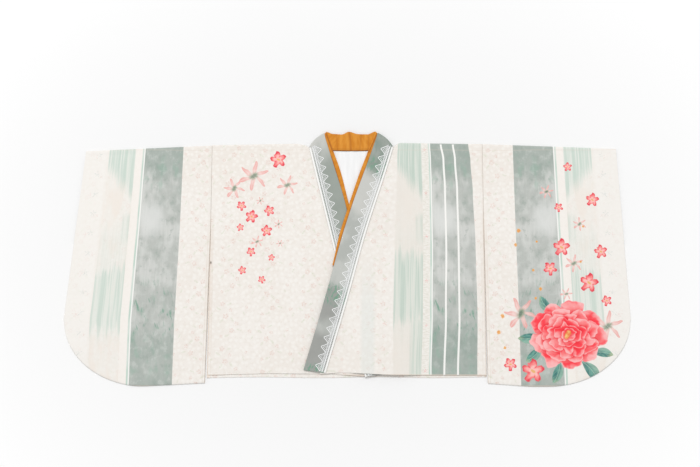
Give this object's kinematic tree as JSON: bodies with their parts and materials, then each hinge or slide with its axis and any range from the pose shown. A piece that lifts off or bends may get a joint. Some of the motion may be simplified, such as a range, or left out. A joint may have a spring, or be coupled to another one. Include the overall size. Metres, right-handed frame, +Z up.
{
  "type": "kimono coat",
  "caption": "Hip-length kimono coat laid flat, left front lapped over the right, with wide round-cornered sleeves and a lace-edged collar.",
  "frame": {"origin": "centre of the garment's footprint, on the surface that it lies on", "axes": "+X towards the wearer's left sleeve, along the span of the sleeves; +Y towards the neck, with the hem towards -Y; +Z up, through the layers"},
  "size_m": [1.3208, 0.6066, 0.0127],
  "materials": {
    "cloth": "matte printed polyester crepe, ivory with grey-green and pale mint stripes and small coral flowers",
    "lining": "smooth white polyester lining",
    "collar": "matte printed grey-green cloth",
    "inner_collar": "ochre satin with a soft sheen",
    "lace": "white cotton guipure edging",
    "ribbon": "off-white satin ribbon"
  },
  "bodies": {
    "root": {"back": "cloth", "back_lining": "lining", "front_right": "cloth", "front_left": "cloth", "sleeve_right": "cloth", "sleeve_left": "cloth", "collar": "collar", "inner_collar": "inner_collar", "lace_right": "lace", "lace_left": "lace", "ribbon_inner": "ribbon", "ribbon_outer": "ribbon"}
  },
  "joints": []
}
